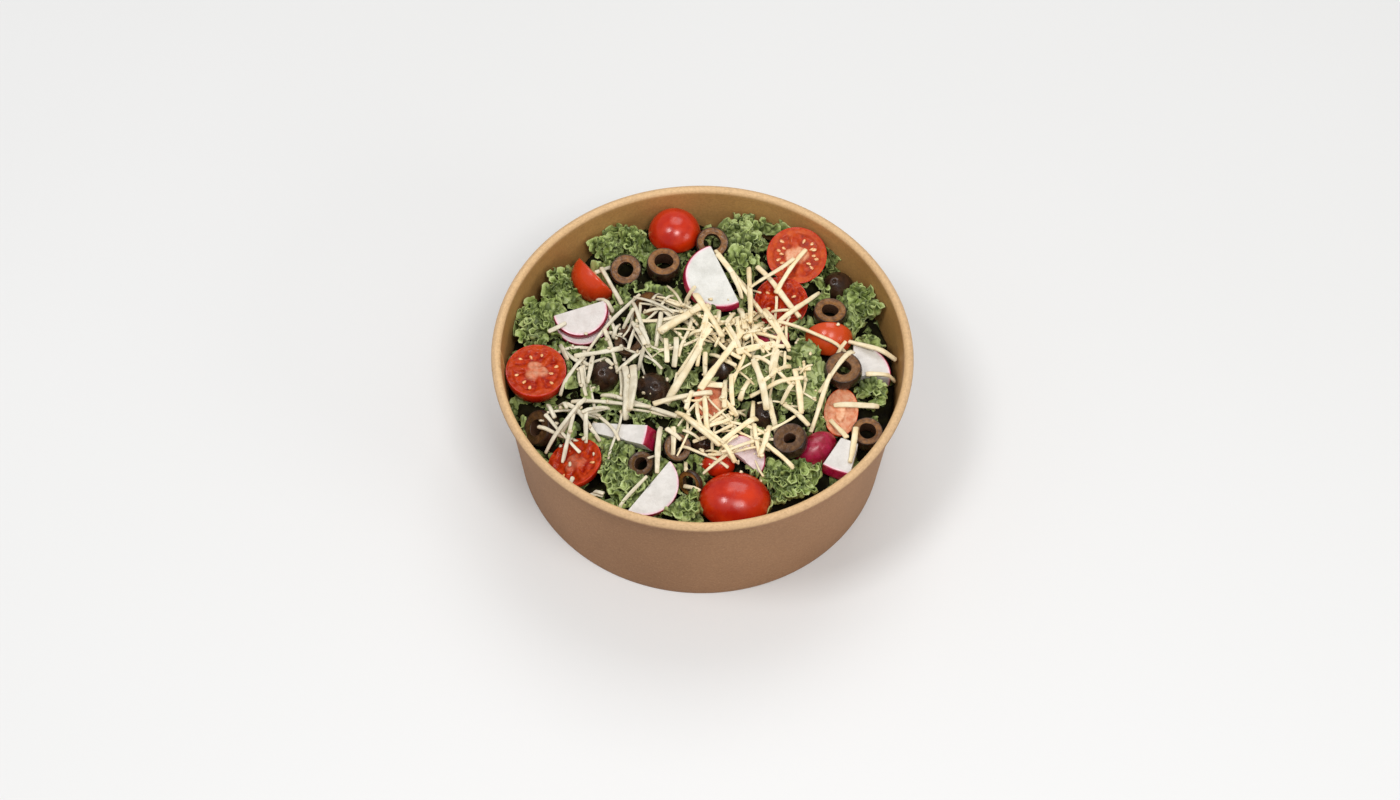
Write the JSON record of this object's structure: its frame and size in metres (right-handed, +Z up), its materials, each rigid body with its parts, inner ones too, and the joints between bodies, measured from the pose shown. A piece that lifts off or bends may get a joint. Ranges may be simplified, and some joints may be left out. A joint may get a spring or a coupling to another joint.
{
  "type": "kale salad",
  "caption": "Kale salad in a round kraft-paper bowl with a rolled rim, topped with halved cherry tomatoes, black olive rings, cut radishes and shredded cheese.",
  "frame": {"origin": "middle of the bowl's foot, on the surface it stands on", "axes": "+Z up out of the bowl, -Y towards the picture's camera, +X to its right"},
  "size_m": [0.184, 0.184, 0.07],
  "materials": {
    "kraft_paper": "uncoated brown kraft paperboard outside, coated inside",
    "kale_leaf": "dressed curly kale leaf",
    "tomato": "glossy tomato skin and wet cut flesh",
    "olive": "brown-black olive skin and tan cut flesh",
    "radish_flesh": "white radish flesh with a thin magenta skin at its edge",
    "radish_skin": "magenta radish skin",
    "cheese": "cream shredded hard cheese"
  },
  "bodies": {
    "root": {"bowl": "kraft_paper", "kale": "kale_leaf", "tomato_half_1": "tomato", "tomato_half_2": "tomato", "tomato_half_3": "tomato", "tomato_half_4": "tomato", "tomato_half_5": "tomato", "tomato_half_6": "tomato", "tomato_half_7": "tomato", "tomato_half_8": "tomato", "tomato_half_9": "tomato", "tomato_quarter_1": "tomato", "tomato_quarter_2": "tomato", "olive_ring_1": "olive", "olive_ring_2": "olive", "olive_ring_3": "olive", "olive_ring_4": "olive", "olive_ring_5": "olive", "olive_ring_6": "olive", "olive_ring_7": "olive", "olive_ring_8": "olive", "olive_ring_9": "olive", "olive_ring_10": "olive", "olive_ring_11": "olive", "olive_ring_12": "olive", "olive_ring_13": "olive", "olive_end_1": "olive", "olive_end_2": "olive", "olive_end_3": "olive", "olive_end_4": "olive", "olive_end_5": "olive", "olive_end_6": "olive", "radish_slice_1": "radish_flesh", "radish_slice_2": "radish_flesh", "radish_slice_3": "radish_flesh", "radish_slice_4": "radish_flesh", "radish_slice_5": "radish_flesh", "radish_slice_6": "radish_flesh", "radish_wedge_1": "radish_flesh", "radish_wedge_2": "radish_flesh", "radish_wedge_3": "radish_flesh", "radish_half_1": "radish_skin"}
  },
  "joints": []
}
